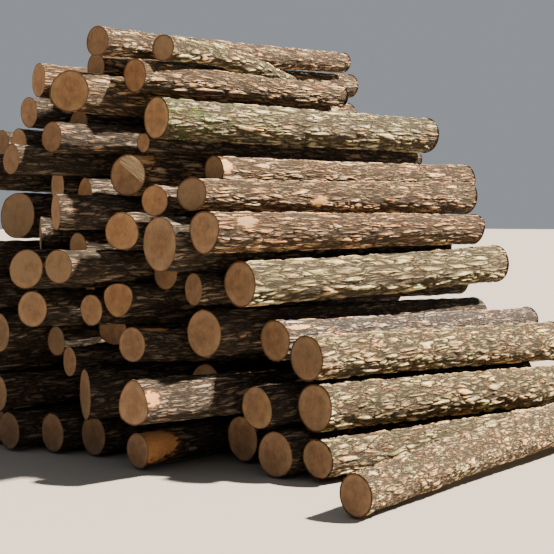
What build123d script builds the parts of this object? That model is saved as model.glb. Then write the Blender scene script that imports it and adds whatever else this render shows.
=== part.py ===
from build123d import *
import os
from dataclasses import dataclass
from functools import cached_property
from math import ceil, pi, radians, sin, tan

import numpy as np

# A stack of cross-cut oak logs with their bark on, as it lies on level ground.
# X runs along the logs, from the sawn ends that face -X. Y runs across the stack, from the foot of
# its open side. The logs are laid one by one, from the ground up, and each one settles into the
# hollow between the logs below it.

# Driving dimensions, in millimetres
LOG_LENGTH = 3000.0
SEAT_CLEARANCE = 0.3
CUT_ALLOWANCE = 120.0
CUT_MARGIN = 1.15

# How a log settles: it is dropped at its side, rolls down by up to these reaches at two bearings,
# which lie at this share of its length from each end, and then lies on the lowest line that clears
# all the logs below it, tested at stations along it
ROLL_REACH = 30.0
HIDDEN_ROLL_REACH = 50.0
BEARING_SHARE = 0.2
ROLL_STEP = 1.0
ROLL_FINE_STEP = 0.05
ROLL_COST = 0.02
TILT_COST = 0.05
STATION_STEP = 60.0
CROSSING_FINENESS = 40.0
NEIGHBOUR_REACH = 1.2
ROUNDING = 1e-6

# Far slope of the stack: plain logs in rows, each row half a pitch further in than the one below
FAR_FOOT = 4130.0
FAR_PITCH = 325.0
FAR_SWING = 60.0
FAR_ROLL_REACH = 80.0
FAR_DIAMETER = 316.0
FAR_DIAMETER_SPREAD = 8.0
FAR_NODES = 4

# Sawn face of the far slope: it slants back towards the open side, and its ends are uneven
FACE_START = -65.0
FACE_SLANT = -0.21
FACE_SCATTER = 95.0

# Shape of the logs that have none of their own in the list: shares of the radius, and millimetres
OVAL_SHARE = 0.035
LOBE_SHARE = 0.008
CROOK = 14.0
ARCH = 10.0
CUT_SCATTER = 3.0
OVAL_TURN_STEP = 67.0
LOBE_TURN_STEP = 41.0
UNEVEN_STEP = 2.4

# Each outline has this many flats between its ridges, and each shown log three straight stretches
FLATS = 20
STRETCHES = 3
PARABOLA_AT_THIRD = 8 / 9


@dataclass
class Log:
    """One cross-cut log. Sizes are in millimetres, angles in degrees."""

    side: float
    diameter: float
    end: float
    length: float = LOG_LENGTH
    taper: float = 0.0
    swing: float = 0.0
    crook: float = 0.0
    arch: float = 0.0
    oval: float = 0.0
    oval_turn: float = 0.0
    lobe: float = 0.0
    lobe_turn: float = 90.0
    cut_turn: float = 0.0
    far_cut_turn: float = 0.0
    roll: float = ROLL_REACH
    far_roll: float = HIDDEN_ROLL_REACH
    heights: tuple = (0.0, 0.0)
    sides: tuple = (0.0, 0.0)

    def along(self, x):
        """Share of the length that lies before x."""
        return (x - self.end) / self.length

    def radius(self, x):
        """Mean radius at x."""
        return (self.diameter + self.taper * self.along(x)) / 2

    def bend(self, x):
        """Share of the crook and of the arch that the log has at x, in three straight stretches."""
        from_end = STRETCHES * np.minimum(self.along(x), 1 - self.along(x))
        return PARABOLA_AT_THIRD * np.minimum(from_end, 1)

    def across(self, x):
        """Y of the pith at x."""
        first, last = self.sides
        return first + (last - first) * self.along(x) + self.crook * self.bend(x)

    def height(self, x):
        """Z of the pith at x."""
        first, last = self.heights
        return first + (last - first) * self.along(x) + self.arch * self.bend(x)

    def span(self):
        """First and last x where the log has wood, with its slanting cuts."""
        last = self.end + self.length
        near = tan(radians(abs(self.cut_turn)))
        far = tan(radians(abs(self.far_cut_turn)))
        near_reach = near * self.radius(self.end) * CUT_MARGIN
        return self.end - near_reach, last + far * self.radius(last) * CUT_MARGIN

    def knees(self):
        """Both places where the pith changes direction."""
        return [self.end + self.length * k / STRETCHES for k in range(1, STRETCHES)]

    def covers(self, x):
        """Whether the log has wood at x or close to it."""
        first, last = self.span()
        return first - STATION_STEP <= x <= last + STATION_STEP

    @cached_property
    def corners(self):
        """Corners of the outline, measured from the pith, for a mean radius of one."""
        angle = 2 * pi * np.arange(FLATS) / FLATS
        two = angle - radians(self.oval_turn)
        three = angle - radians(self.lobe_turn)
        out = 1 + self.oval * np.cos(2 * two) + self.lobe * np.cos(3 * three)
        slope = -2 * self.oval * np.sin(2 * two) - 3 * self.lobe * np.sin(3 * three)
        y = out * np.cos(angle) - slope * np.sin(angle)
        z = out * np.sin(angle) + slope * np.cos(angle)
        return np.column_stack((y, z))

    @cached_property
    def upright(self):
        """Lowest corner and edges of the outline, for a mean radius of one."""
        return edges_from_lowest(self.corners)

    @cached_property
    def turned_over(self):
        """Lowest corner and edges of the outline after half a turn, for a mean radius of one."""
        return edges_from_lowest(-self.corners)

    def outline(self, x):
        """Corners of the outline in the cross plane at x, measured from the pith."""
        return self.radius(x) * self.corners


def edges_from_lowest(corners):
    """The lowest corner of an outline, its edges in order from there, and where each edge points."""
    first = np.lexsort((corners[:, 0], corners[:, 1]))[0]
    corners = np.roll(corners, -first, axis=0)
    edges = np.roll(corners, -1, axis=0) - corners
    return corners[0], edges, np.arctan2(edges[:, 1], edges[:, 0]) % (2 * pi)


def resting_line(log, below, x):
    """Line that a log's pith follows as the log slides over one below it, in the cross plane at x."""
    start, edges, turns = below.upright
    other_start, other_edges, other_turns = log.turned_over
    size = below.radius(x)
    other_size = log.radius(x) + SEAT_CLEARANCE
    order = np.argsort(np.concatenate((turns, other_turns)))
    edges = np.vstack((size * edges, other_size * other_edges))[order]
    corners = size * start + other_size * other_start + np.cumsum(edges, axis=0)
    first, last = np.argmax(corners[:, 0]), np.argmin(corners[:, 0])
    over_top = corners[first : last + 1][::-1]
    return over_top[:, 0] + below.across(x), over_top[:, 1] + below.height(x)


def lowest_pith(log, laid, x, sides):
    """Lowest height that the ground and the laid logs leave for a log's pith, for each side."""
    lowest = np.full(len(sides), -log.outline(x)[:, 1].min())
    middle = (sides[0] + sides[-1]) / 2
    for below in laid:
        apart = abs(below.across(x) - middle) - (sides[-1] - sides[0]) / 2
        if apart > NEIGHBOUR_REACH * (below.radius(x) + log.radius(x)) or not below.covers(x):
            continue
        y, z = resting_line(log, below, x)
        lowest = np.maximum(lowest, np.interp(sides, y, z, left=0.0, right=0.0))
    return lowest


def roll_to_hollow(log, laid, x, side, farthest):
    """Side where a log comes to lie at x, as near as can be to where it was dropped."""
    found = side + log.crook * log.bend(x)
    dropped = found
    for reach, step in ((farthest, ROLL_STEP), (ROLL_STEP, ROLL_FINE_STEP)):
        sides = np.arange(found - reach, found + reach + step / 2, step)
        cost = lowest_pith(log, laid, x, sides) + ROLL_COST * abs(sides - dropped)
        found = sides[np.argmin(cost)]
    return found - log.crook * log.bend(x)


def rest(log, laid):
    """Roll a log into its hollow and lower it until it lies on two places, one each side of its middle."""
    bearings = []
    for share, reach in ((BEARING_SHARE, log.roll), (1 - BEARING_SHARE, log.far_roll)):
        x = log.end + share * log.length
        bearings.append(roll_to_hollow(log, laid, x, log.side + share * log.swing, reach))
    overhang = BEARING_SHARE / (1 - 2 * BEARING_SHARE) * (bearings[1] - bearings[0])
    log.sides = (bearings[0] - overhang, bearings[1] + overhang)
    first, last = log.span()
    middle = (first + last) / 2
    near = [
        below
        for below in laid
        if abs(below.across(middle) - log.across(middle)) < log.diameter + below.diameter
    ]
    crossing = abs(bearings[1] - bearings[0]) / log.length
    step = STATION_STEP / max(1.0, CROSSING_FINENESS * crossing)
    stations = list(np.linspace(first, last, ceil((last - first) / step) + 1))
    for knee in log.knees() + [knee for below in near for knee in below.knees()]:
        if first < knee < last:
            stations.append(knee)
    stations = np.unique(stations)
    shares = log.along(stations)
    needed = []
    for x in stations:
        sides = np.array([log.across(x)])
        needed.append(lowest_pith(log, laid, x, sides)[0] - log.arch * log.bend(x))
    log.heights = lowest_line(shares, np.array(needed))
    return log


def lowest_line(shares, needed):
    """Heights at both ends of the lowest straight line that clears every needed height."""
    best = None
    for a in range(len(shares)):
        slopes = np.append((needed[a + 1 :] - needed[a]) / (shares[a + 1 :] - shares[a]), 0.0)
        starts = needed[a] - slopes * shares[a]
        lines = starts[:, None] + slopes[:, None] * shares[None, :]
        clear = (lines >= needed[None, :] - ROUNDING).all(axis=1)
        costs = starts + slopes / 2 + TILT_COST * abs(slopes)
        for start, slope, cost in zip(starts[clear], slopes[clear], costs[clear]):
            if best is None or cost < best[0]:
                best = (cost, start, start + slope)
    return best[1:]


def unevenness(number):
    """A steady number from -1 to 1 for each log, so that no two logs are alike."""
    return sin(UNEVEN_STEP * number + 0.7)


def natural(log, number):
    """Give a log that has no shape of its own a slight one."""
    if log.oval == 0:
        log.oval = OVAL_SHARE * (0.6 + 0.4 * unevenness(number))
        log.oval_turn = OVAL_TURN_STEP * number % 180
    if log.lobe == 0:
        log.lobe = LOBE_SHARE * (1 + unevenness(3 * number))
        log.lobe_turn = LOBE_TURN_STEP * number % 120
    if log.crook == 0:
        log.crook = CROOK * unevenness(2 * number)
    if log.arch == 0:
        log.arch = ARCH * unevenness(4 * number)
    log.far_cut_turn = CUT_SCATTER * unevenness(5 * number)
    return log


def far_slope_log(course, place):
    """A plain log of the far slope, counted inwards from its outer edge."""
    number = 10 * course + place
    side = FAR_FOOT - (course / 2 + place) * FAR_PITCH
    return Log(
        side=side,
        diameter=FAR_DIAMETER + FAR_DIAMETER_SPREAD * unevenness(number),
        end=FACE_START + FACE_SLANT * side + FACE_SCATTER * unevenness(7 * number),
        swing=FAR_SWING,
        roll=FAR_ROLL_REACH,
        far_roll=FAR_ROLL_REACH,
    )


# The list of logs, from the ground up. Each course gives the logs that the open side and the sawn
# face show, in the order of laying, and how many plain logs the far slope adds to it.
COURSES = (
    (7, [
        Log(1550, 280, -530, swing=325, cut_turn=-4),
        Log(1208, 345, 150),
        Log(660, 335, -60, cut_turn=4),
        Log(340, 295, 20, swing=-110),
        Log(-520, 280, -560, swing=465, taper=65),
    ]),
    (4, [
        Log(2075, 395, -610, swing=-35, cut_turn=-24),
        Log(1225, 335, -810, swing=-60, lobe=0.05, lobe_turn=90),
        Log(770, 320, -100, swing=-60),
        Log(480, 345, 110, swing=-45),
        Log(2270, 255, -570, swing=-60, cut_turn=-12),
    ]),
    (3, [
        Log(1623, 420, 130, swing=-70, cut_turn=-6),
        Log(2694, 405, -90, swing=-90, cut_turn=-24),
        Log(2495, 245, -530, swing=50),
        Log(1495, 280, -580, swing=-10, cut_turn=5),
        Log(470, 330, 80, swing=65, taper=20),
    ]),
    (3, [
        Log(2225, 255, -240, swing=30, oval=0.08, oval_turn=0, cut_turn=16),
        Log(800, 310, 100, swing=-35, taper=-75),
        Log(1180, 350, -250, swing=-30, cut_turn=6),
        Log(2410, 300, -810, swing=-15, cut_turn=12),
        Log(2035, 250, -580, swing=60, cut_turn=7),
        Log(1800, 265, -520, swing=60, lobe=0.05, lobe_turn=30, cut_turn=18),
    ]),
    (2, [
        Log(2650, 385, -100, swing=30, cut_turn=-24),
        Log(1170, 240, -320, cut_turn=-6),
        Log(1600, 275, -250, swing=60),
        Log(900, 335, -170, swing=140),
    ]),
    (1, [
        Log(1860, 255, -950, swing=-30, cut_turn=16),
        Log(2335, 310, -930, swing=60, cut_turn=18),
        Log(2060, 230, -640, swing=-60),
        Log(1280, 395, -530, swing=-30),
        Log(960, 315, -420, taper=-40, lobe=0.04, lobe_turn=270),
        Log(1770, 295, -510, swing=-30, cut_turn=18),
        Log(2410, 265, -720, swing=-15, cut_turn=-30),
    ]),
    (1, [
        Log(2020, 275, -880, swing=-30, cut_turn=-20),
        Log(3170, 390, -450, swing=30, cut_turn=12),
        Log(1390, 240, -480, swing=-30, cut_turn=14),
        Log(2280, 300, -450, swing=60, cut_turn=-12),
        Log(1190, 245, -350, swing=-55, taper=60, cut_turn=16),
        Log(2520, 270, -490, swing=-30, cut_turn=-12),
    ]),
    (0, [
        Log(1900, 325, -350, arch=25, cut_turn=14),
        Log(1300, 225, -10, swing=75, taper=55),
        Log(2360, 240, -1010),
        Log(1770, 165, -310),
        Log(2530, 235, -820),
        Log(2180, 240, -810, swing=60, cut_turn=5),
    ]),
    (0, [
        Log(3370, 240, -430, swing=-30),
        Log(1600, 310, -330, swing=45),
        Log(2365, 250, -420, swing=30),
        Log(2605, 250, -680, swing=-25),
        Log(2845, 255, -390, swing=120, cut_turn=-8),
    ]),
    (0, [
        Log(2215, 325, -640, swing=25, cut_turn=22),
        Log(1940, 255, -250, swing=130, length=2300, taper=-55, cut_turn=6),
        Log(2700, 285, -530, swing=-45, cut_turn=-12),
    ]),
    (0, [
        Log(2295, 235, -270, swing=315),
        Log(1830, 205, -80, swing=460, length=1800, arch=65, taper=-35, cut_turn=22),
        Log(2000, 235, -480, swing=500, taper=-35, cut_turn=10),
    ]),
)


def lay_stack():
    """Lay every log in its turn, and give the named logs and those of the far slope."""
    laid = []
    named = {}
    far_slope = []
    for course, (far_count, shown) in enumerate(COURSES):
        for place, log in enumerate(shown):
            laid.append(rest(natural(log, len(laid)), laid))
            named[f"course_{course + 1}_log_{place + 1}"] = log
        for place in range(far_count):
            log = far_slope_log(course, place)
            laid.append(rest(log, laid))
            far_slope.append(log)
    return named, far_slope


def log_solid(log):
    """The log's body between its two sawn ends."""
    last = log.end + log.length
    middle = log.knees() if log.crook or log.arch else []
    with BuildPart() as body:
        for x in [log.end - CUT_ALLOWANCE, *middle, last + CUT_ALLOWANCE]:
            pith = (x, log.across(x), log.height(x))
            with BuildSketch(Plane(origin=pith, x_dir=(0, 1, 0), z_dir=(1, 0, 0))):
                with BuildLine():
                    Polyline(*map(tuple, log.outline(x)), close=True)
                make_face()
        loft(ruled=True)
        for x, turn, inwards in ((log.end, log.cut_turn, 1), (last, -log.far_cut_turn, -1)):
            pith = (x, log.across(x), log.height(x))
            square = (inwards, tan(radians(turn)), 0)
            split(bisect_by=Plane(origin=pith, z_dir=square), keep=Keep.TOP)
    return body.part


named_logs, far_logs = lay_stack()
pieces = {name: log_solid(log) for name, log in named_logs.items()}
share = ceil(len(far_logs) / FAR_NODES)
for node in range(FAR_NODES):
    group = [log_solid(log) for log in far_logs[node * share : (node + 1) * share]]
    pieces[f"far_slope_logs_{node + 1}"] = Compound(group)

# The origin is the middle of the ground under the stack
boxes = [piece.bounding_box() for piece in pieces.values()]
middle_x = (min(box.min.X for box in boxes) + max(box.max.X for box in boxes)) / 2
middle_y = (min(box.min.Y for box in boxes) + max(box.max.Y for box in boxes)) / 2
lowest_z = min(box.min.Z for box in boxes)
to_origin = Location((-middle_x, -middle_y, -lowest_z))

os.makedirs("parts", exist_ok=True)
for name, piece in pieces.items():
    placed = piece.moved(to_origin)
    placed.label = name
    export_step(placed, f"parts/{name}.step")
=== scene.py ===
import logging
from collections.abc import Sequence
from dataclasses import dataclass
from enum import Enum
from math import cos, radians, sin

import bpy
import numpy as np
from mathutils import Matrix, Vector


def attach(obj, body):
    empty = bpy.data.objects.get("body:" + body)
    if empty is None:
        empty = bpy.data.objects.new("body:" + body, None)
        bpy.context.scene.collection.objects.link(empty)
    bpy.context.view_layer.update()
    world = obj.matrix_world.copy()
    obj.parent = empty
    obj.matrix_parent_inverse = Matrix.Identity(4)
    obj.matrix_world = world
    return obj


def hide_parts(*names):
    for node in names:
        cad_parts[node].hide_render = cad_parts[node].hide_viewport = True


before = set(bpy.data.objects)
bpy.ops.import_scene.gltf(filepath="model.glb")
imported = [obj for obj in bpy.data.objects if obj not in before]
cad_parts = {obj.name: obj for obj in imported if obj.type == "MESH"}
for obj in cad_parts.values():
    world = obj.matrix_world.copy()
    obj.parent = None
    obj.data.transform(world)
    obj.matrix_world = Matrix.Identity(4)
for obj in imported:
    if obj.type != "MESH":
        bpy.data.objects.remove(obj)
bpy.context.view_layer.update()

# The finish of a stack of cross-cut oak logs: bark with its ridges and fissures, sawn ends with
# their growth rings and checks, lichen, moss, and the places where the bark is off.
# Lengths are in metres and angles in degrees.

LOG = logging.getLogger("log_stack")
BODY = "root"
Colour = tuple[float, float, float]

# The solids: corners of a ring, how near two corners count as one, and a gap that parts two rings
CORNERS = 20
WELD = 1e-5
RING_GAP = 0.1

# The relief: its swell as a share of the radius, and its cuts as shares of the bark's depth
LUMP_SHARE = 0.07
MEAN_RADIUS = 0.15
FURROW_SHARE = 0.75
PLATE_SHARE = 0.25
BARE_SHARE = 0.8

# Edges: creases of a log's rim and of its wood, and the angle past which an edge stays sharp
RIM_CREASE = 1.0
WOOD_CREASE = 0.8
SHARP_ANGLE = 50

# Places of a log's three materials
BARK_FACES = 0
WOOD_FACES = 1
RIM_FACES = 2

# Growth rings: radians in a metre, fine and broad, and where the sapwood starts and is full
RING_WAVES = 900.0
BROAD_WAVES = 210.0
SAPWOOD = (0.085, 0.125)

LICHEN = (0.76, 0.77, 0.36)
MOSS = (0.085, 0.11, 0.03)
BLUSH = (0.95, 0.42, 0.17)
SCRAPED_DARK = (0.58, 0.25, 0.11)
SCRAPED_PALE = (0.95, 0.55, 0.30)
TORN_BARK = (0.20, 0.09, 0.045)
BARE_DARK = (0.50, 0.24, 0.09)
WEATHERED = (0.20, 0.13, 0.075)
CHECK = (0.05, 0.025, 0.012)
CLEFT_DARK = (0.13, 0.085, 0.045)
CLEFT_PALE = (0.60, 0.44, 0.26)
RIM_DARK = (0.05, 0.026, 0.015)
RIM_PALE = (0.20, 0.095, 0.045)
FLOOR = (0.37, 0.335, 0.29)
SUNLIGHT = (1.0, 0.90, 0.76)
SKYLIGHT = (0.86, 0.92, 1.0)


class Fineness(Enum):
    """How finely a log is divided: rounds of smoothing, and the length of a face along the log."""

    NEAR = (3, 0.020)
    MIDDLE = (2, 0.030)
    PLAIN = (1, 0.045)
    HIDDEN = (1, 0.060)


@dataclass(frozen=True)
class BarkFinish:
    """How the bark of one kind of log looks.

    Ridge and pale are the colours of the plates. The third colour is painted shade in the furrows
    and a darker tone in random patches of the plates; the fourth, furrow, is the near-black of the
    cracks, partly the bark's own dark and partly painted shade.
    Lichen, moss, scraped and blush say how much of the surface they cover, and moss_until how far
    along the stack moss grows thickly. The plates' length is given in widths. Under is the colour
    of the wood where the bark is off.
    """

    name: str
    ridge: Colour
    pale: Colour
    shade_and_dark_tone: Colour
    furrow: Colour
    lichen: float = 0.25
    moss: float = 0.0
    moss_until: float = -1.0
    scraped: float = 0.25
    blush: float = 0.3
    depth: float = 0.012
    plate_width: float = 0.032
    plate_length: float = 4.5
    under: Colour = (0.86, 0.54, 0.24)


@dataclass(frozen=True)
class BarePlace:
    """A place where a log has lost its bark.

    Along is the distance from the near end, turn the angle from the log's top towards -Y, and reach
    half its length along the log and half its width around it.
    """

    along: float
    turn: float
    reach: tuple[float, float]


@dataclass(frozen=True)
class WoodFinish:
    """How a sawn end looks: heartwood, sapwood, how grey it is, and whether a wedge split off."""

    name: str
    heart: Colour
    sap: Colour
    grey: float = 0.2
    cleft: bool = False


class Bark(Enum):
    """The kinds of bark that the stack shows, and a darkened copy of the bark that is painted
    shade.
    """

    SCALY = BarkFinish(
        "scaly_bark", (0.88, 0.71, 0.41), (1.0, 0.91, 0.60),
        (0.32, 0.22, 0.12), (0.02, 0.014, 0.01),
        lichen=0.45, scraped=0.3, blush=0.55, depth=0.014, plate_width=0.040, plate_length=2.6,
    )
    CHUNKY = BarkFinish(
        "chunky_bark", (0.84, 0.66, 0.36), (1.0, 0.88, 0.54),
        (0.28, 0.20, 0.11), (0.016, 0.012, 0.008),
        lichen=0.55, scraped=0.28, blush=0.5, depth=0.018, plate_width=0.052, plate_length=3.4,
    )
    RIDGED = BarkFinish(
        "ridged_bark", (0.82, 0.68, 0.37), (1.0, 0.90, 0.54),
        (0.28, 0.20, 0.11), (0.016, 0.012, 0.008),
        lichen=0.6, scraped=0.22, blush=0.4, depth=0.018, plate_width=0.055, plate_length=5.5,
    )
    TAN = BarkFinish(
        "tan_bark", (0.76, 0.54, 0.31), (0.98, 0.77, 0.47),
        (0.24, 0.155, 0.09), (0.018, 0.012, 0.008),
        lichen=0.2, scraped=0.32, blush=0.45, depth=0.013, plate_width=0.035, plate_length=6.0,
    )
    SCRAPED = BarkFinish(
        "scraped_bark", (0.73, 0.50, 0.28), (0.96, 0.72, 0.43),
        (0.22, 0.135, 0.08), (0.018, 0.012, 0.008),
        lichen=0.2, scraped=0.42, blush=0.45, depth=0.013, plate_width=0.037, plate_length=6.0,
        under=(0.29, 0.235, 0.15),
    )
    GREY = BarkFinish(
        "grey_bark", (0.62, 0.56, 0.50), (0.84, 0.78, 0.70),
        (0.24, 0.19, 0.15), (0.018, 0.014, 0.011),
        lichen=0.2, scraped=0.4, blush=0.45, plate_width=0.036, plate_length=3.5,
    )
    MOSSY = BarkFinish(
        "mossy_bark", (0.80, 0.69, 0.43), (1.0, 0.94, 0.66),
        (0.28, 0.21, 0.12), (0.02, 0.014, 0.01),
        lichen=0.5, moss=0.5, blush=0.35, depth=0.016, plate_width=0.044, plate_length=5.0,
    )
    # A darkened copy of the bark, painted shade for logs whose bark lies in shade
    DARK = BarkFinish(
        "dark_bark", (0.34, 0.25, 0.17), (0.50, 0.38, 0.27),
        (0.14, 0.10, 0.065), (0.014, 0.01, 0.007),
        lichen=0.1, scraped=0.15, blush=0.15, plate_width=0.036, plate_length=5.5,
        under=(0.78, 0.36, 0.13),
    )


class Wood(Enum):
    """The kinds of sawn end that the stack shows. Their heartwood and sapwood colours are the
    wood's own, darkened further as painted shade, since the sawn ends lie in shade.
    """

    FRESH = WoodFinish("fresh_end", (0.29, 0.152, 0.069), (0.325, 0.190, 0.090), grey=0.05)
    TAN = WoodFinish("tan_end", (0.23, 0.128, 0.065), (0.265, 0.161, 0.086), grey=0.2)
    CLEFT = WoodFinish("cleft_end", (0.215, 0.116, 0.058), (0.25, 0.148, 0.077), cleft=True)
    GREYED = WoodFinish("greyed_end", (0.20, 0.118, 0.057), (0.235, 0.144, 0.070), grey=0.5)


def select_only(piece: bpy.types.Object) -> None:
    """Make one object the only selected and the active one.

    Args:
        piece: The object.
    """
    bpy.ops.object.select_all(action="DESELECT")
    piece.select_set(True)
    bpy.context.view_layer.objects.active = piece


def choose(
    piece: bpy.types.Object, edges: Sequence[int] = (), faces: Sequence[int] = ()
) -> None:
    """Select just these edges and faces, and leave the object in edit mode.

    Args:
        piece: The object that is being shaped.
        edges: Numbers of the edges to select.
        faces: Numbers of the faces to select.
    """
    bpy.ops.object.mode_set(mode="EDIT")
    bpy.ops.mesh.select_mode(type="FACE" if len(faces) else "EDGE")
    bpy.ops.mesh.select_all(action="DESELECT")
    bpy.ops.object.mode_set(mode="OBJECT")
    for number in edges:
        piece.data.edges[number].select = True
    for number in faces:
        piece.data.polygons[number].select = True
    bpy.ops.object.mode_set(mode="EDIT")


def corners_of(piece: bpy.types.Object) -> np.ndarray:
    """Places of a mesh's vertices.

    Args:
        piece: The object that has the mesh.

    Returns:
        One row of three numbers for each vertex.
    """
    places = np.empty(len(piece.data.vertices) * 3)
    piece.data.vertices.foreach_get("co", places)
    return places.reshape(-1, 3)


class LogSolid:
    """The rings of corners that a log's solid has at its sawn ends and at its bends."""

    def __init__(self, places: np.ndarray) -> None:
        """Sort the corners of one solid into rings.

        Args:
            places: The solid's own corners, one row each, without doubles.
        """
        order = np.argsort(places[:, 0])
        steps = np.flatnonzero(np.diff(places[order, 0]) > RING_GAP) + 1
        rings = [places[members] for members in np.split(order, steps) if len(members) == CORNERS]
        model = self.turned(rings[len(rings) // 2])
        self.rings = [self.matched(self.turned(ring), model) for ring in rings]

    @staticmethod
    def turned(ring: np.ndarray) -> np.ndarray:
        """Put a ring's corners in order around its middle."""
        offset = ring - ring.mean(axis=0)
        return ring[np.argsort(np.arctan2(offset[:, 2], offset[:, 1]))]

    @staticmethod
    def matched(ring: np.ndarray, model: np.ndarray) -> np.ndarray:
        """Start a ring at the corner that matches the first one of a model ring.

        Args:
            ring: A ring's corners in order.
            model: The corners of the ring to match.

        Returns:
            The same corners, in the same order, from another start.
        """
        flat = (ring - ring.mean(axis=0))[:, 1:]
        wanted = (model - model.mean(axis=0))[:, 1:]
        misfit = [np.abs(np.roll(flat, -k, axis=0) - wanted).sum() for k in range(CORNERS)]
        return np.roll(ring, -int(np.argmin(misfit)), axis=0)


def solids_of(node: str) -> list[LogSolid]:
    """The separate logs that a node of the frame holds.

    Args:
        node: The node's name.

    Returns:
        One LogSolid for each log in the node.
    """
    select_only(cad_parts[node])
    bpy.ops.object.duplicate()
    bpy.ops.object.transform_apply(location=True, rotation=True, scale=True)
    bpy.ops.object.mode_set(mode="EDIT")
    bpy.ops.mesh.select_all(action="SELECT")
    bpy.ops.mesh.remove_doubles(threshold=WELD)
    bpy.ops.mesh.separate(type="LOOSE")
    bpy.ops.object.mode_set(mode="OBJECT")
    loose = [corners_of(part) for part in bpy.context.selected_objects]
    places = sorted(loose, key=lambda rows: tuple(rows.mean(axis=0)))
    bpy.ops.object.delete()
    return [LogSolid(rows) for rows in places]


@dataclass
class SawnLog:
    """One cross-cut log, shaped from a cylinder to its solid and given its bark."""

    name: str
    node: str
    solid: LogSolid
    seed: float
    bark: Bark = Bark.TAN
    wood: Wood = Wood.TAN
    fineness: Fineness = Fineness.PLAIN
    bare: BarePlace | None = None
    bark_thickness: float = 0.014

    def build(self) -> bpy.types.Object:
        """Model and dress the log.

        Returns:
            The finished object, with its place in its mesh.
        """
        piece = self.start()
        self.fit_to_solid(piece)
        self.mark_ends(piece)
        self.round_off(piece)
        self.raise_bark(piece)
        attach(piece, BODY)
        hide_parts(self.node)
        LOG.info("%s: %d faces", self.name, len(piece.data.polygons))
        return piece

    def start(self) -> bpy.types.Object:
        """Add a plain cylinder with as many rings as the solid has.

        Returns:
            The cylinder, with its materials.
        """
        near, far = self.solid.rings[0].mean(axis=0), self.solid.rings[-1].mean(axis=0)
        bpy.ops.object.select_all(action="DESELECT")
        bpy.ops.mesh.primitive_cylinder_add(
            vertices=CORNERS,
            radius=float(np.ptp(self.solid.rings[0][:, 2])) / 2,
            depth=float(far[0] - near[0]),
            location=(near + far) / 2,
            rotation=(0, radians(90), 0),
        )
        piece = bpy.context.object
        piece.name = piece.data.name = self.name
        bpy.ops.object.transform_apply(location=True, rotation=True, scale=True)
        for slot in (BARKS[self.bark], WOODS[self.wood], RIMS[self.bark]):
            piece.data.materials.append(slot)
        lengthwise = [e.index for e in piece.data.edges if self.runs_along(piece, e)]
        choose(piece, edges=lengthwise)
        bpy.ops.mesh.subdivide(number_cuts=len(self.solid.rings) - 2)
        bpy.ops.object.mode_set(mode="OBJECT")
        return piece

    @staticmethod
    def runs_along(piece: bpy.types.Object, edge: bpy.types.MeshEdge) -> bool:
        """Whether an edge runs along the log.

        Args:
            piece: The object that has the edge.
            edge: The edge.

        Returns:
            True if it is longer along X than across.
        """
        first, last = (piece.data.vertices[v].co for v in edge.vertices)
        return abs(first.x - last.x) > abs(first.y - last.y) + abs(first.z - last.z)

    def fit_to_solid(self, piece: bpy.types.Object) -> None:
        """Move each ring of the cylinder to the solid's own ring.

        Args:
            piece: The cylinder.
        """
        places = corners_of(piece)
        order = np.argsort(places[:, 0], kind="stable")
        for k, ring in enumerate(self.solid.rings):
            members = order[k * CORNERS : (k + 1) * CORNERS]
            offset = places[members] - places[members].mean(axis=0)
            members = members[np.argsort(np.arctan2(offset[:, 2], offset[:, 1]))]
            for vertex, corner in zip(members, ring):
                piece.data.vertices[int(vertex)].co = corner
        piece.data.update()

    def mark_ends(self, piece: bpy.types.Object) -> None:
        """Inset the ends by the bark's thickness, keep the rims sharp, and divide the sides.

        Args:
            piece: The log that is being shaped.
        """
        ends = [f.index for f in piece.data.polygons if len(f.vertices) == CORNERS]
        choose(piece, faces=ends)
        bpy.ops.mesh.region_to_loop()
        bpy.ops.transform.edge_crease(value=RIM_CREASE)
        choose(piece, faces=ends)
        piece.active_material_index = RIM_FACES
        bpy.ops.object.material_slot_assign()
        bpy.ops.mesh.inset(thickness=self.bark_thickness, use_boundary=True)
        piece.active_material_index = WOOD_FACES
        bpy.ops.object.material_slot_assign()
        bpy.ops.mesh.region_to_loop()
        bpy.ops.transform.edge_crease(value=WOOD_CREASE)
        bpy.ops.object.mode_set(mode="OBJECT")
        rounds, face_length = self.fineness.value
        near, far = self.solid.rings[0][:, 0].mean(), self.solid.rings[-1][:, 0].mean()
        stretch = float(far - near) / (len(self.solid.rings) - 1)
        cuts = max(round(stretch / (face_length * 2**rounds)) - 1, 1)
        lengthwise = [e.index for e in piece.data.edges if self.runs_along(piece, e)]
        choose(piece, edges=lengthwise)
        bpy.ops.mesh.subdivide(number_cuts=cuts)
        bpy.ops.object.mode_set(mode="OBJECT")

    def round_off(self, piece: bpy.types.Object) -> None:
        """Round the flats off.

        Args:
            piece: The log that is being shaped.
        """
        rounding = piece.modifiers.new("rounding", "SUBSURF")
        rounding.levels = rounding.render_levels = self.fineness.value[0]
        select_only(piece)
        bpy.ops.object.modifier_apply(modifier=rounding.name)

    def raise_bark(self, piece: bpy.types.Object) -> None:
        """Cut the bark's fissures into the surface, and store what the finish reads.

        Args:
            piece: The log that is being shaped.
        """
        near, far = self.solid.rings[0].mean(axis=0), self.solid.rings[-1].mean(axis=0)
        relief = piece.modifiers.new("relief", "NODES")
        relief.node_group = bark_relief()
        values = {
            "Seed": self.seed,
            "Depth": self.bark.value.depth,
            "Plate Width": self.bark.value.plate_width,
            "Plate Length": self.bark.value.plate_length,
            "Near Pith": Vector(near),
            "Far Pith": Vector(far),
            "Middle": float((near[0] + far[0]) / 2),
            **self.bare_values(near, far),
        }
        for item in relief.node_group.interface.items_tree:
            if item.in_out == "INPUT" and item.name in values:
                relief[item.identifier] = values[item.name]
        select_only(piece)
        bpy.ops.object.modifier_apply(modifier=relief.name)
        bpy.ops.object.shade_smooth_by_angle(angle=radians(SHARP_ANGLE))

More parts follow.
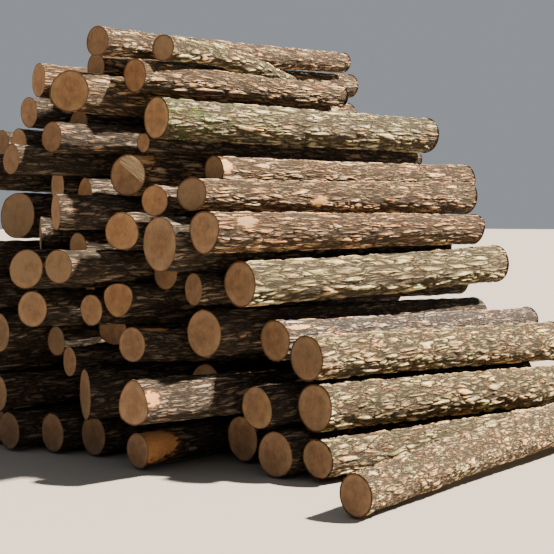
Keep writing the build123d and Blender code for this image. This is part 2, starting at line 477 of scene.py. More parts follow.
    def bare_values(self, near: np.ndarray, far: np.ndarray) -> dict[str, Vector]:
        """Where the relief leaves the bark off, and how far that place reaches.

        Args:
            near: The middle of the near sawn end.
            far: The middle of the far sawn end.

        Returns:
            Values for the relief's inputs, none of them if the bark is whole.
        """
        if self.bare is None:
            return {}
        radius = float(np.ptp(self.solid.rings[0][:, 2])) / 2
        turn = radians(self.bare.turn)
        pith = near + (far - near) * self.bare.along / float(far[0] - near[0])
        place = pith + radius * np.array((0, -sin(turn), cos(turn)))
        long, wide = self.bare.reach
        return {"Bare Place": Vector(place), "Bare Reach": Vector((long, wide, wide))}


class Tree:
    """A short way to write a node tree."""

    def __init__(self, tree: bpy.types.NodeTree) -> None:
        """Wrap a node tree."""
        self.tree = tree

    def node(self, kind: str, **settings: object) -> bpy.types.Node:
        """Add a node and set its properties.

        Args:
            kind: The node's type name.
            settings: Properties of the node.

        Returns:
            The new node.
        """
        made = self.tree.nodes.new(kind)
        for key, value in settings.items():
            setattr(made, key, value)
        return made

    def feed(self, made: bpy.types.Node, **inputs: object) -> bpy.types.Node:
        """Set or link inputs of a node, each named by its socket, with _ for a space or by number.

        Args:
            made: The node to feed.
            inputs: Values or output sockets, by socket name or as i0, i1 and so on.

        Returns:
            The same node.
        """
        for key, value in inputs.items():
            if key[0] == "i" and key[1:].isdigit():
                socket = made.inputs[int(key[1:])]
            else:
                socket = made.inputs[key.replace("_", " ")]
            if isinstance(value, bpy.types.NodeSocket):
                self.tree.links.new(value, socket)
            else:
                socket.default_value = value
        return made

    def math(
        self, operation: str, first: object, second: object = 0.0, clamp: bool = False
    ) -> object:
        """Output of a Math node."""
        made = self.node("ShaderNodeMath", operation=operation, use_clamp=clamp)
        return self.feed(made, i0=first, i1=second).outputs[0]

    def vector(self, operation: str, first: object, second: object = (0.0, 0.0, 0.0)) -> object:
        """Output of a Vector Math node."""
        made = self.node("ShaderNodeVectorMath", operation=operation)
        return self.feed(made, i0=first, i1=second).outputs[0]

    def scaled(self, vector: object, factor: object) -> object:
        """A vector times a number."""
        made = self.node("ShaderNodeVectorMath", operation="SCALE")
        return self.feed(made, i0=vector, Scale=factor).outputs[0]

    def times(self, first: object, second: object) -> object:
        """The product of two numbers."""
        return self.math("MULTIPLY", first, second)

    def plus(self, first: object, second: object) -> object:
        """The sum of two numbers."""
        return self.math("ADD", first, second)

    def less(self, first: object, second: object) -> object:
        """The first number less the second."""
        return self.math("SUBTRACT", first, second)

    def joined(self, x: object, y: object, z: object) -> object:
        """A vector or colour made of three numbers."""
        return self.feed(self.node("ShaderNodeCombineXYZ"), i0=x, i1=y, i2=z).outputs[0]

    def parts(self, vector: object) -> list[object]:
        """The three numbers of a vector."""
        return list(self.feed(self.node("ShaderNodeSeparateXYZ"), i0=vector).outputs)

    def length(self, vector: object) -> object:
        """The length of a vector."""
        made = self.node("ShaderNodeVectorMath", operation="LENGTH")
        return self.feed(made, i0=vector).outputs["Value"]

    def ramp(
        self, value: object, low: object, high: object, start: float = 0.0, end: float = 1.0
    ) -> object:
        """A number mapped smoothly from one range to another.

        Args:
            value: The number.
            low: Where the range starts.
            high: Where the range ends.
            start: What low becomes.
            end: What high becomes.

        Returns:
            The mapped number, which stays between start and end.
        """
        made = self.node("ShaderNodeMapRange", interpolation_type="SMOOTHSTEP")
        self.feed(made, Value=value, From_Min=low, From_Max=high, To_Min=start, To_Max=end)
        return made.outputs[0]

    def noise(
        self, vector: object, scale: object, detail: float = 3.0, rough: float = 0.5
    ) -> object:
        """Value of a noise texture.

        Args:
            vector: Where the noise is read.
            scale: How fine it is.
            detail: How many finer rounds it has.
            rough: How strong the finer rounds are.

        Returns:
            A number around 0.5.
        """
        made = self.node("ShaderNodeTexNoise")
        self.feed(made, Vector=vector, Scale=scale, Detail=detail, Roughness=rough)
        return made.outputs[0]

    def edges(self, vector: object, scale: float) -> object:
        """Distance from the edges of a cell texture."""
        made = self.node("ShaderNodeTexVoronoi", feature="DISTANCE_TO_EDGE")
        return self.feed(made, Vector=vector, Scale=scale).outputs[0]

    def mix(self, factor: object, first: object, second: object, blend: str = "MIX") -> object:
        """A mix of two colours.

        Args:
            factor: The share of the second colour.
            first: The first colour.
            second: The second colour.
            blend: How the second colour acts on the first.

        Returns:
            The mixed colour.
        """
        made = self.node("ShaderNodeMix", data_type="RGBA", blend_type=blend)
        self.feed(made, i0=factor, i6=first, i7=second)
        return made.outputs[2]


def stored(tree: Tree, geometry: object, name: str, kind: str, value: object) -> object:
    """Store an attribute on every point of a geometry.

    Args:
        tree: The tree to add the node to.
        geometry: The geometry.
        name: The attribute's name.
        kind: FLOAT or FLOAT_VECTOR.
        value: What to store.

    Returns:
        The geometry with its attribute.
    """
    made = tree.node("GeometryNodeStoreNamedAttribute", data_type=kind, domain="POINT")
    return tree.feed(made, Geometry=geometry, Name=name, i3=value).outputs[0]


def shade(colour: Colour) -> tuple[float, float, float, float]:
    """A colour with full alpha."""
    return (*colour, 1.0)


def new_group(
    name: str,
    kind: str,
    inputs: dict[str, tuple[str, object]],
    outputs: dict[str, str],
) -> tuple[bpy.types.NodeTree, Tree, dict[str, bpy.types.NodeSocket], bpy.types.Node]:
    """Make an empty node group with named sockets.

    Args:
        name: The group's name.
        kind: ShaderNodeTree or GeometryNodeTree.
        inputs: Socket type for each input name, with its default.
        outputs: Socket type for each output name.

    Returns:
        The group, its Tree, its input sockets by name, and its output node.
    """
    group = bpy.data.node_groups.new(name, kind)
    for label, (socket, default) in inputs.items():
        item = group.interface.new_socket(label, in_out="INPUT", socket_type=socket)
        if default is not None:
            item.default_value = default
    for label, socket in outputs.items():
        group.interface.new_socket(label, in_out="OUTPUT", socket_type=socket)
    tree = Tree(group)
    entry = tree.node("NodeGroupInput")
    ways_in = {label: entry.outputs[label] for label in inputs}
    return group, tree, ways_in, tree.node("NodeGroupOutput")


@dataclass(frozen=True)
class BarkPattern:
    """Sockets of the bark's pattern: each is a number from 0 to 1 that changes over the surface."""

    furrow: bpy.types.NodeSocket
    crack: bpy.types.NodeSocket
    plate: bpy.types.NodeSocket
    swell: bpy.types.NodeSocket


def bark_pattern(
    tree: Tree, place: object, seed: object, plate_width: object, plate_length: object
) -> BarkPattern:
    """The pattern of plates and fissures, the same for the relief and for the finish.

    Args:
        tree: The tree to add the nodes to.
        place: Where on the log, before its relief was cut.
        seed: A number of the log's own.
        plate_width: How wide the plates are.
        plate_length: How many times as long as wide the plates are.

    Returns:
        Rounded furrows, narrow cracks, each plate's own height, and a slow swell of the surface.
    """
    own = tree.joined(tree.times(seed, 3.7), tree.times(seed, 1.3), seed)
    squeeze = tree.joined(tree.math("DIVIDE", 1.0, plate_length), 1.0, 1.0)
    drawn_out = tree.vector("MULTIPLY", place, squeeze)
    moved = tree.vector("ADD", drawn_out, own)
    warp = tree.node("ShaderNodeTexNoise")
    tree.feed(warp, Vector=moved, Scale=17.0, Detail=5.0, Roughness=0.62)
    bent = tree.vector("SUBTRACT", warp.outputs["Color"], (0.5, 0.5, 0.5))
    warped = tree.vector("ADD", moved, tree.scaled(bent, 0.07))
    warped = tree.scaled(warped, tree.math("DIVIDE", 1.0, plate_width))
    plates = tree.node("ShaderNodeTexVoronoi", feature="F1")
    tree.feed(plates, Vector=warped, Scale=1.0)
    own_height = tree.parts(plates.outputs["Color"])[0]
    starts = ((0.0, 0.0, 0.0), (9.0, 4.0, 7.0))
    waves = [tree.noise(tree.vector("ADD", warped, start), 0.62, 1.5) for start in starts]
    lines = [tree.math("ABSOLUTE", tree.less(wave, 0.5)) for wave in waves]
    along = tree.times(tree.math("MINIMUM", *lines), 2.6)
    broad = tree.math("MINIMUM", along, tree.times(tree.edges(warped, 1.0), 1.7))
    fine = tree.edges(warped, 2.4)
    uneven = tree.noise(moved, 22.0, 2.0)
    width = tree.ramp(uneven, 0.3, 0.7, 0.12, 0.34)
    deep = tree.math("SUBTRACT", 1.0, tree.math("DIVIDE", broad, width), clamp=True)
    hair = tree.math("SUBTRACT", 1.0, tree.math("DIVIDE", fine, 0.16), clamp=True)
    hair = tree.times(hair, tree.ramp(uneven, 0.42, 0.6, 0.1, 0.75))
    return BarkPattern(
        furrow=tree.ramp(broad, 0.0, 0.3, 1.0, 0.0),
        crack=tree.math("MAXIMUM", deep, hair),
        plate=own_height,
        swell=tree.noise(moved, 6.0, 2.0),
    )


def bare_masks(tree: Tree, offset: object, place: object) -> tuple[object, object]:
    """How bare a spot is, and how near to torn bark, the same for the relief and for the finish.

    Args:
        tree: The tree to add the nodes to.
        offset: The way from the bare place's middle, as a share of its reach.
        place: Where on the log, before its relief was cut.

    Returns:
        Two masks: 1 where the bark is off, with a torn edge, and 1 there and in a band around it.
    """
    torn = tree.noise(tree.vector("MULTIPLY", place, (0.4, 1.0, 1.0)), 38.0, 4.0, 0.6)
    ragged = tree.plus(tree.length(offset), tree.times(tree.less(torn, 0.5), 1.6))
    return tree.ramp(ragged, 0.9, 1.0, 1.0, 0.0), tree.ramp(ragged, 1.0, 1.35, 1.0, 0.0)


def bark_relief() -> bpy.types.NodeTree:
    """The modifier that cuts a log's bark, made once.

    Returns:
        A geometry group that moves the surface inwards and stores what the finish reads.
    """
    if "bark_relief" in bpy.data.node_groups:
        return bpy.data.node_groups["bark_relief"]
    group, tree, given, out = new_group(
        "bark_relief",
        "GeometryNodeTree",
        {
            "Geometry": ("NodeSocketGeometry", None),
            "Seed": ("NodeSocketFloat", 0.0),
            "Depth": ("NodeSocketFloat", 0.007),
            "Plate Width": ("NodeSocketFloat", 0.03),
            "Plate Length": ("NodeSocketFloat", 4.0),
            "Near Pith": ("NodeSocketVector", None),
            "Far Pith": ("NodeSocketVector", None),
            "Middle": ("NodeSocketFloat", 0.0),
            "Bare Place": ("NodeSocketVector", (0.0, 0.0, -50.0)),
            "Bare Reach": ("NodeSocketVector", (1.0, 1.0, 1.0)),
        },
        {"Geometry": "NodeSocketGeometry"},
    )
    place = tree.node("GeometryNodeInputPosition").outputs[0]
    is_far = tree.math("GREATER_THAN", tree.parts(place)[0], given["Middle"])
    pith = tree.node("ShaderNodeMix", data_type="VECTOR")
    tree.feed(pith, i0=is_far, i4=given["Near Pith"], i5=given["Far Pith"])
    spot = tree.vector("SUBTRACT", place, pith.outputs[1])

    offset = tree.vector("SUBTRACT", place, given["Bare Place"])
    from_bare = tree.vector("DIVIDE", offset, given["Bare Reach"])
    solid = stored(tree, given["Geometry"], "rest", "FLOAT_VECTOR", place)
    solid = stored(tree, solid, "spot", "FLOAT_VECTOR", spot)
    solid = stored(tree, solid, "bare", "FLOAT_VECTOR", from_bare)
    solid = stored(tree, solid, "seed", "FLOAT", given["Seed"])

    pattern = bark_pattern(
        tree, place, given["Seed"], given["Plate Width"], given["Plate Length"]
    )
    side = tree.node("GeometryNodeInputMaterialIndex").outputs[0]
    on_bark = tree.node("FunctionNodeCompare", data_type="INT", operation="EQUAL")
    tree.feed(on_bark, i2=side, i3=BARK_FACES)
    weight = tree.node("GeometryNodeFieldOnDomain", data_type="FLOAT", domain="FACE")
    tree.feed(weight, i0=on_bark.outputs[0])
    on_side = tree.math("GREATER_THAN", weight.outputs[0], 0.01)
    cut = tree.plus(
        tree.times(pattern.furrow, FURROW_SHARE), tree.times(pattern.plate, PLATE_SHARE)
    )
    is_bare, _ = bare_masks(tree, from_bare, place)
    cut = tree.plus(cut, tree.times(is_bare, tree.less(BARE_SHARE, cut)))
    depth = tree.times(tree.times(cut, given["Depth"]), on_side)
    normal = tree.node("GeometryNodeInputNormal").outputs[0]
    outwards = tree.vector("NORMALIZE", tree.vector("MULTIPLY", normal, (0.0, 1.0, 1.0)))
    inwards = tree.scaled(outwards, tree.times(depth, -1.0))
    flat_spot = tree.vector("MULTIPLY", spot, (0.0, 1.0, 1.0))
    lump_on_end = tree.scaled(flat_spot, tree.times(pattern.swell, -LUMP_SHARE))
    lump_on_side = tree.scaled(outwards, tree.times(pattern.swell, -LUMP_SHARE * MEAN_RADIUS))
    lump = tree.node("ShaderNodeMix", data_type="VECTOR")
    tree.feed(lump, i0=on_side, i4=lump_on_end, i5=lump_on_side)
    moved = tree.node("GeometryNodeSetPosition")
    tree.feed(moved, Geometry=solid, Offset=tree.vector("ADD", inwards, lump.outputs[1]))
    tree.tree.links.new(moved.outputs[0], out.inputs[0])
    return group


def plate_group() -> bpy.types.NodeTree:
    """The shader group for the bark's plates and fissures, made once.

    Returns:
        A group that puts out masks and patterns of the bark.
    """
    if "bark_plates" in bpy.data.node_groups:
        return bpy.data.node_groups["bark_plates"]
    group, tree, given, out = new_group(
        "bark_plates",
        "ShaderNodeTree",
        {
            "Place": ("NodeSocketVector", None),
            "Seed": ("NodeSocketFloat", 0.0),
            "Plate Width": ("NodeSocketFloat", 0.03),
            "Plate Length": ("NodeSocketFloat", 4.0),
            "From Bare": ("NodeSocketVector", None),
        },
        {
            name: "NodeSocketFloat"
            for name in ("Furrow", "Crack", "Plate", "Grain", "Bare", "Torn", "Fibre")
        },
    )
    pattern = bark_pattern(
        tree, given["Place"], given["Seed"], given["Plate Width"], given["Plate Length"]
    )
    drawn_out = tree.vector("MULTIPLY", given["Place"], (0.35, 1.0, 1.0))
    grain = tree.noise(drawn_out, 170.0, 5.0, 0.7)
    is_bare, is_torn = bare_masks(tree, given["From Bare"], given["Place"])
    whole = tree.less(1.0, is_bare)
    fibre = tree.noise(tree.vector("MULTIPLY", given["Place"], (0.06, 1.0, 1.0)), 150.0, 3.0, 0.6)
    for name, socket in (
        ("Furrow", tree.times(pattern.furrow, whole)),
        ("Crack", tree.times(pattern.crack, whole)),
        ("Plate", pattern.plate),
        ("Grain", grain),
        ("Bare", is_bare),
        ("Torn", is_torn),
        ("Fibre", fibre),
    ):
        tree.tree.links.new(socket, out.inputs[name])
    return group


def patch_group() -> bpy.types.NodeTree:
    """The shader group for uneven patches, such as lichen, moss and scraped bark, made once.

    Returns:
        A group that puts out one mask.
    """
    if "patches" in bpy.data.node_groups:
        return bpy.data.node_groups["patches"]
    group, tree, given, out = new_group(
        "patches",
        "ShaderNodeTree",
        {
            "Place": ("NodeSocketVector", None),
            "Seed": ("NodeSocketFloat", 0.0),
            "Amount": ("NodeSocketFloat", 0.3),
            "Stretch": ("NodeSocketFloat", 0.5),
            "Scale": ("NodeSocketFloat", 6.0),
            "Edge": ("NodeSocketFloat", 0.05),
        },
        {"Mask": "NodeSocketFloat"},
    )
    pull = tree.joined(given["Stretch"], 1.0, 1.0)
    drawn_out = tree.vector("MULTIPLY", given["Place"], pull)
    own = tree.joined(given["Seed"], tree.times(given["Seed"], 2.9), 0.0)
    broad = tree.noise(tree.vector("ADD", drawn_out, own), given["Scale"], 6.0, 0.62)
    limit = tree.less(0.72, tree.times(given["Amount"], 0.42))
    mask = tree.ramp(broad, tree.less(limit, given["Edge"]), tree.plus(limit, given["Edge"]))
    tree.tree.links.new(mask, out.inputs["Mask"])
    return group


def attribute(tree: Tree, name: str, output: str = "Vector") -> object:
    """Output of the piece's own attribute."""
    return tree.node("ShaderNodeAttribute", attribute_name=name).outputs[output]


def new_material(name: str, roughness: float) -> tuple[bpy.types.Material, Tree, bpy.types.Node]:
    """Start a material.

    Args:
        name: The material's name.
        roughness: Its plain roughness.

    Returns:
        The material, its Tree and its Principled BSDF.
    """
    made = bpy.data.materials.new(name)
    made.use_nodes = True
    made.node_tree.nodes.clear()
    tree = Tree(made.node_tree)
    out = tree.node("ShaderNodeOutputMaterial")
    surface = tree.node("ShaderNodeBsdfPrincipled")
    surface.inputs["Roughness"].default_value = roughness
    surface.inputs["Specular IOR Level"].default_value = 0.25
    made.node_tree.links.new(surface.outputs[0], out.inputs["Surface"])
    return made, tree, surface


def placed(tree: Tree, group: bpy.types.NodeTree, **inputs: object) -> bpy.types.Node:
    """Place a shader group and feed it.

    Args:
        tree: The tree to add the node to.
        group: The shader group.
        inputs: Values or output sockets, by the name of the group's input.

    Returns:
        The placed group.
    """
    made = tree.node("ShaderNodeGroup")
    made.node_tree = group
    return tree.feed(made, **inputs)


def patches(tree: Tree, place: object, seed: object, amount: float, **inputs: float) -> object:
    """Place the group for uneven patches.

    Args:
        tree: The tree to add the node to.
        place: Where on the log.
        seed: A number that moves the patches.
        amount: How much of the surface they cover, from 0 to 1.
        inputs: Stretch, Scale and Edge of the patches.

    Returns:
        The mask of the patches.
    """
    return placed(tree, patch_group(), Place=place, Seed=seed, Amount=amount, **inputs).outputs[0]


def toned(tree: Tree, colour: object, level: object) -> object:
    """A colour made darker or brighter by a number."""
    return tree.mix(1.0, colour, tree.joined(level, level, level), "MULTIPLY")


def bark_material(finish: BarkFinish) -> bpy.types.Material:
    """The material of one kind of bark.

    Args:
        finish: Colours and amounts of this kind.

    Returns:
        The material.
    """
    made, tree, surface = new_material(finish.name, 0.88)
    rest = attribute(tree, "rest")
    seed = attribute(tree, "seed", "Fac")
    cuts = placed(
        tree,
        plate_group(),
        Place=rest,
        Seed=seed,
        Plate_Width=finish.plate_width,
        Plate_Length=finish.plate_length,
        From_Bare=attribute(tree, "bare"),
    ).outputs

    # The plates' own colour, darker in random patches
    tone = patches(tree, rest, seed, 0.5, Stretch=0.3, Scale=9.0, Edge=0.2)
    light = tree.ramp(tone, 0.0, 1.0, 0.6, 1.0)
    ridge = tree.mix(light, shade(finish.shade_and_dark_tone), shade(finish.ridge))
    ridge = tree.mix(tree.times(cuts["Plate"], 0.5), ridge, shade(finish.pale))

    # Lichen, blush and scraped places on the plates
    growth = patches(tree, rest, seed, finish.lichen, Stretch=0.5, Scale=8.0, Edge=0.09)
    crust = tree.ramp(tree.noise(rest, 70.0, 5.0, 0.7), 0.36, 0.58)
    ridge = tree.mix(tree.times(growth, crust), ridge, shade(LICHEN))
    apart = tree.plus(seed, 3.0)
    flush = patches(tree, rest, apart, finish.blush, Stretch=0.5, Scale=9.0, Edge=0.12)
    crumb = tree.ramp(tree.noise(rest, 55.0, 4.0, 0.65), 0.42, 0.56)
    ridge = tree.mix(tree.times(flush, crumb), ridge, shade(BLUSH))
    apart = tree.plus(seed, 5.0)
    scraped = patches(tree, rest, apart, finish.scraped, Stretch=0.3, Scale=15.0, Edge=0.012)
    bare = tree.mix(cuts["Grain"], shade(SCRAPED_DARK), shade(SCRAPED_PALE))
    ridge = tree.mix(tree.times(scraped, 0.85), ridge, bare)
    ridge = toned(tree, ridge, tree.ramp(cuts["Grain"], 0.28, 0.72, 0.7, 1.3))

    # Furrows and cracks between the plates: the furrows darkened as painted shade, the cracks
    # near-black, partly the fissures' own dark and partly painted shade
    colour = tree.mix(tree.times(cuts["Furrow"], 0.9), ridge, shade(finish.shade_and_dark_tone))
    colour = tree.mix(tree.times(cuts["Crack"], 0.96), colour, shade(finish.furrow))
    if finish.moss:
        apart = tree.plus(seed, 9.0)
        growth = patches(tree, rest, apart, finish.moss, Stretch=0.8, Scale=9.0, Edge=0.05)
        until = finish.moss_until
        near_end = tree.ramp(tree.parts(rest)[0], until, until + 0.3, 1.0, 0.1)
        clumps = tree.ramp(tree.noise(rest, 45.0, 5.0, 0.7), 0.44, 0.52)
        growth = tree.times(tree.times(growth, near_end), clumps)
        colour = tree.mix(growth, colour, shade(MOSS))

    # The wood where the bark is off, with torn bark around it
    colour = tree.mix(tree.times(cuts["Torn"], 0.7), colour, shade(TORN_BARK))
    fibres = tree.ramp(cuts["Fibre"], 0.3, 0.7)
    stripped = tree.mix(fibres, shade(BARE_DARK), shade(finish.under))
    colour = tree.mix(cuts["Bare"], colour, stripped)
    tree.feed(surface, Base_Color=colour)

    # Grain and cracks too fine for the mesh
    ground = tree.plus(tree.times(cuts["Furrow"], 0.5), tree.times(cuts["Crack"], 0.6))
    height = tree.less(tree.times(cuts["Grain"], 0.45), ground)
    bump = tree.feed(tree.node("ShaderNodeBump"), Strength=1.0, Distance=0.028, Height=height)
    tree.feed(surface, Normal=bump.outputs[0])
    return made


def wood_material(finish: WoodFinish) -> bpy.types.Material:
    """The material of one kind of sawn end.

    Args:
        finish: Colours and weathering of this kind.

    Returns:
        The material.
    """
    made, tree, surface = new_material(finish.name, 0.75)
    spot = attribute(tree, "spot")
    seed = attribute(tree, "seed", "Fac")
    own = tree.joined(seed, tree.times(seed, 1.7), 0.0)
    moved = tree.vector("ADD", spot, own)
    _, sideways, upwards = tree.parts(spot)
    from_pith = tree.length(tree.vector("MULTIPLY", spot, (0.0, 1.0, 1.0)))

    # Growth rings, heartwood and sapwood, whose colours hold painted shade besides the wood's own
    # tone
    radius = tree.plus(from_pith, tree.times(tree.noise(moved, 9.0, 3.0), 0.03))
    rings = tree.math("SINE", tree.times(radius, RING_WAVES))
    broad = tree.math("SINE", tree.times(radius, BROAD_WAVES))
    sapwood = tree.ramp(from_pith, *SAPWOOD)
    colour = tree.mix(sapwood, shade(finish.heart), shade(finish.sap))
    stripe = tree.plus(tree.times(rings, 0.03), tree.times(broad, 0.025))
    stain = tree.ramp(tree.noise(moved, 16.0, 5.0, 0.6), 0.25, 0.75, 0.72, 1.2)
    colour = toned(tree, colour, tree.times(tree.plus(0.95, stripe), stain))
    weathered = patches(tree, spot, seed, finish.grey, Stretch=1.0, Scale=7.0, Edge=0.15)
    colour = tree.mix(weathered, colour, shade(WEATHERED))

    # The log's own tone, and the saw's lines
    own_tone = tree.ramp(tree.math("FRACT", tree.times(seed, 3.17)), 0.0, 1.0, 0.8, 1.15)
    saw_lines = tree.noise(tree.vector("MULTIPLY", moved, (1.0, 9.0, 0.7)), 30.0, 3.0)
    saw_lines = tree.ramp(saw_lines, 0.3, 0.7, 0.88, 1.08)
    colour = toned(tree, colour, tree.times(own_tone, saw_lines))

    # Checks that run out from the pith
    around = tree.math("ARCTAN2", upwards, sideways)
    wobble = tree.times(tree.noise(moved, 26.0, 3.0), 1.3)
    fan = tree.plus(tree.times(around, 1.5), tree.plus(wobble, tree.times(seed, 2.3)))
    narrow = tree.math("DIVIDE", 0.0022, tree.plus(from_pith, 0.02))
    check = tree.math("LESS_THAN", tree.math("ABSOLUTE", tree.math("SINE", fan)), narrow)
    check = tree.times(check, tree.ramp(from_pith, 0.03, 0.11, 0.75, 0.0))
    colour = tree.mix(check, colour, shade(CHECK))

    # A wedge of torn fibres
    if finish.cleft:
        ragged = tree.times(tree.less(tree.noise(moved, 60.0, 3.0), 0.5), 0.03)
        slant = tree.less(upwards, tree.times(sideways, 0.75))
        above = tree.ramp(tree.plus(slant, ragged), 0.036, 0.042)
        beside = tree.ramp(tree.plus(sideways, ragged), 0.075, 0.065)
        across = tree.joined(slant, tree.times(sideways, 0.08), 0.0)
        fibre = tree.ramp(tree.noise(across, 130.0, 3.0, 0.6), 0.35, 0.65)
        fibres = tree.mix(fibre, shade(CLEFT_DARK), shade(CLEFT_PALE))
        colour = tree.mix(tree.times(above, beside), colour, fibres)
    tree.feed(surface, Base_Color=colour)

    saw = tree.noise(tree.vector("MULTIPLY", moved, (1.0, 6.0, 0.6)), 45.0, 3.0)
    height = tree.plus(saw, tree.times(rings, 0.1))
    bump = tree.feed(tree.node("ShaderNodeBump"), Strength=0.5, Distance=0.003, Height=height)
    tree.feed(surface, Normal=bump.outputs[0])
    return made


def rim_material(finish: BarkFinish) -> bpy.types.Material:
    """The material of the cut edge of one kind of bark.

    Args:
        finish: The bark's colours.

    Returns:
        The material.
    """
    made, tree, surface = new_material(finish.name.replace("bark", "rim"), 0.9)
    crumb = tree.noise(attribute(tree, "rest"), 120.0, 4.0, 0.6)
    tree.feed(surface, Base_Color=tree.mix(crumb, shade(RIM_DARK), shade(RIM_PALE)))
    bump = tree.feed(tree.node("ShaderNodeBump"), Strength=0.8, Distance=0.004, Height=crumb)
    tree.feed(surface, Normal=bump.outputs[0])
    return made


@dataclass(frozen=True)
class LogLook:
    """What one shown log has of its own."""

    bark: Bark = Bark.TAN
    wood: Wood = Wood.TAN
    fineness: Fineness = Fineness.PLAIN
    bare: BarePlace | None = None


# The logs with a look of their own, by course and number in it; those with the darkened bark have
# it as painted shade
LOOKS: dict[tuple[int, int], LogLook] = {
    (1, 1): LogLook(Bark.DARK, Wood.TAN, Fineness.MIDDLE, BarePlace(0.10, 60, (0.20, 0.17))),
    (1, 4): LogLook(Bark.CHUNKY, Wood.TAN, Fineness.NEAR),
    (1, 5): LogLook(Bark.SCALY, Wood.TAN, Fineness.NEAR),
    (2, 2): LogLook(Bark.DARK, Wood.TAN, Fineness.MIDDLE, BarePlace(0.05, 72, (0.055, 0.06))),
    (2, 4): LogLook(Bark.CHUNKY, Wood.TAN, Fineness.NEAR),
    (3, 3): LogLook(Bark.DARK, Wood.GREYED),
    (3, 4): LogLook(Bark.DARK, Wood.TAN, Fineness.PLAIN, BarePlace(0.16, 24, (0.13, 0.03))),
    (3, 5): LogLook(Bark.CHUNKY, Wood.TAN, Fineness.NEAR),
    (4, 2): LogLook(Bark.GREY, Wood.TAN, Fineness.NEAR, BarePlace(0.16, 45, (0.13, 0.025))),
    (4, 6): LogLook(Bark.DARK, Wood.FRESH),
    (5, 1): LogLook(Bark.DARK, Wood.FRESH),
    (5, 4): LogLook(Bark.RIDGED, Wood.TAN, Fineness.NEAR),
    (6, 1): LogLook(Bark.DARK, Wood.GREYED),
    (6, 2): LogLook(Bark.DARK, Wood.GREYED),
    (6, 5): LogLook(Bark.SCRAPED, Wood.TAN, Fineness.NEAR, BarePlace(0.27, 63, (0.10, 0.052))),
    (6, 6): LogLook(Bark.DARK, Wood.FRESH),
    (7, 1): LogLook(Bark.DARK, Wood.FRESH),
    (7, 2): LogLook(Bark.DARK, Wood.GREYED),
    (7, 3): LogLook(Bark.DARK, Wood.FRESH),
    (7, 4): LogLook(Bark.DARK, Wood.FRESH),
    (7, 5): LogLook(Bark.TAN, Wood.GREYED, Fineness.NEAR, BarePlace(1.14, 111, (0.09, 0.05))),
    (8, 1): LogLook(Bark.TAN, Wood.CLEFT, Fineness.MIDDLE, BarePlace(0.05, 15, (0.14, 0.12))),
    (8, 2): LogLook(Bark.TAN, Wood.GREYED, Fineness.NEAR, BarePlace(0.05, 72, (0.06, 0.07))),
    (9, 2): LogLook(Bark.MOSSY, Wood.FRESH, Fineness.NEAR),
    (10, 1): LogLook(Bark.TAN, Wood.FRESH, Fineness.MIDDLE),
    (10, 2): LogLook(Bark.TAN, Wood.FRESH, Fineness.NEAR, BarePlace(0.50, 108, (0.05, 0.035))),
    (10, 3): LogLook(Bark.TAN, Wood.FRESH),
    (11, 1): LogLook(Bark.TAN, Wood.TAN, Fineness.MIDDLE),
    (11, 2): LogLook(Bark.RIDGED, Wood.GREYED, Fineness.MIDDLE, BarePlace(0.73, 120, (0.10, 0.03))),
    (11, 3): LogLook(Bark.TAN, Wood.TAN, Fineness.MIDDLE),
}


@dataclass
class LogStack:
    """All the logs of the stack."""

    seed_step: float = 7.31
    seed_span: float = 50.0

    def build(self) -> None:
        """Dress every log, those of the far slope too."""
        number = 0
        for node in sorted(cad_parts):
            for solid in solids_of(node):
                number += 1
                self.dress(node, solid, number)

    def dress(self, node: str, solid: LogSolid, number: int) -> None:
        """Dress one log.

        Args:
            node: The node that holds the log's solid.
            solid: The log's rings of corners.
            number: A number of the log's own.
        """
        words = node.split("_")
        if words[0] == "course":
            # Logs that are not listed get the darkened bark, painted shade
            look = LOOKS.get((int(words[1]), int(words[3])), LogLook(Bark.DARK))
            name = f"barked_log_{words[1]}_{words[3]}"
        else:
            # The far slope's logs get the darkened bark, painted shade
            look = LogLook(Bark.DARK, Wood.TAN, Fineness.HIDDEN)
            name = f"far_slope_log_{number}"
        seed = number * self.seed_step % self.seed_span
        SawnLog(name, node, solid, seed, look.bark, look.wood, look.fineness, look.bare).build()


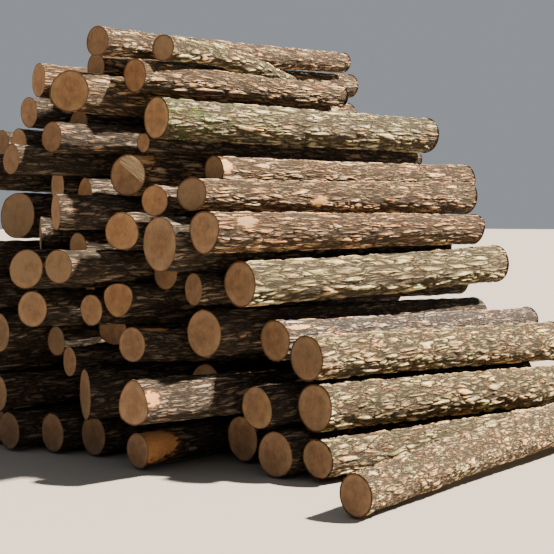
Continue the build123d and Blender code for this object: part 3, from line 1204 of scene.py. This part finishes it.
@dataclass
class Studio:
    """The floor, the lights and the camera at the photograph's viewing angle."""

    floor_size: float = 400.0
    eye: tuple[float, float, float] = (-7.2166, -7.397, 1.745)
    heading: float = 45.5
    look_down: float = 2.51
    focal_length: float = 84.48
    sun_heading: float = -42.0
    sun_height: float = 46.0
    sun_strength: float = 23.0
    sun_width: float = 3.0
    sky_strength: float = 0.34
    farthest: float = 500.0

    def build(self) -> None:
        """Make the studio."""
        self.lay_floor()
        self.hang_lights()
        self.set_camera()

    def lay_floor(self) -> None:
        """Lay the pale floor."""
        bpy.ops.mesh.primitive_plane_add(size=self.floor_size)
        floor = bpy.context.object
        floor.name = "floor"
        made, _, surface = new_material("pale_floor", 0.9)
        surface.inputs["Base Color"].default_value = shade(FLOOR)
        floor.data.materials.append(made)

    def hang_lights(self) -> None:
        """Hang a soft key light and a pale surrounding light."""
        bpy.ops.object.light_add(type="SUN")
        key = bpy.context.object
        key.data.energy = self.sun_strength
        key.data.angle = radians(self.sun_width)
        key.data.color = SUNLIGHT
        key.rotation_euler = (radians(90 - self.sun_height), 0, radians(90 + self.sun_heading))
        world = bpy.data.worlds.new("surroundings")
        bpy.context.scene.world = world
        world.use_nodes = True
        background = world.node_tree.nodes["Background"]
        background.inputs["Color"].default_value = shade(SKYLIGHT)
        background.inputs["Strength"].default_value = self.sky_strength

    def set_camera(self) -> None:
        """Set the camera."""
        bpy.ops.object.camera_add(
            location=self.eye,
            rotation=(radians(90 - self.look_down), 0, radians(self.heading - 90)),
        )
        camera = bpy.context.object
        camera.data.lens = self.focal_length
        camera.data.clip_end = self.farthest
        bpy.context.scene.camera = camera


BARKS: dict[Bark, bpy.types.Material] = {}
RIMS: dict[Bark, bpy.types.Material] = {}
WOODS: dict[Wood, bpy.types.Material] = {}


def main() -> None:
    """Build the finishes, the stack and the studio in order."""
    logging.basicConfig(level=logging.INFO, format="%(message)s")
    for bark in Bark:
        BARKS[bark] = bark_material(bark.value)
        RIMS[bark] = rim_material(bark.value)
    for wood in Wood:
        WOODS[wood] = wood_material(wood.value)
    LogStack().build()
    Studio().build()


if __name__ == "__main__":
    main()
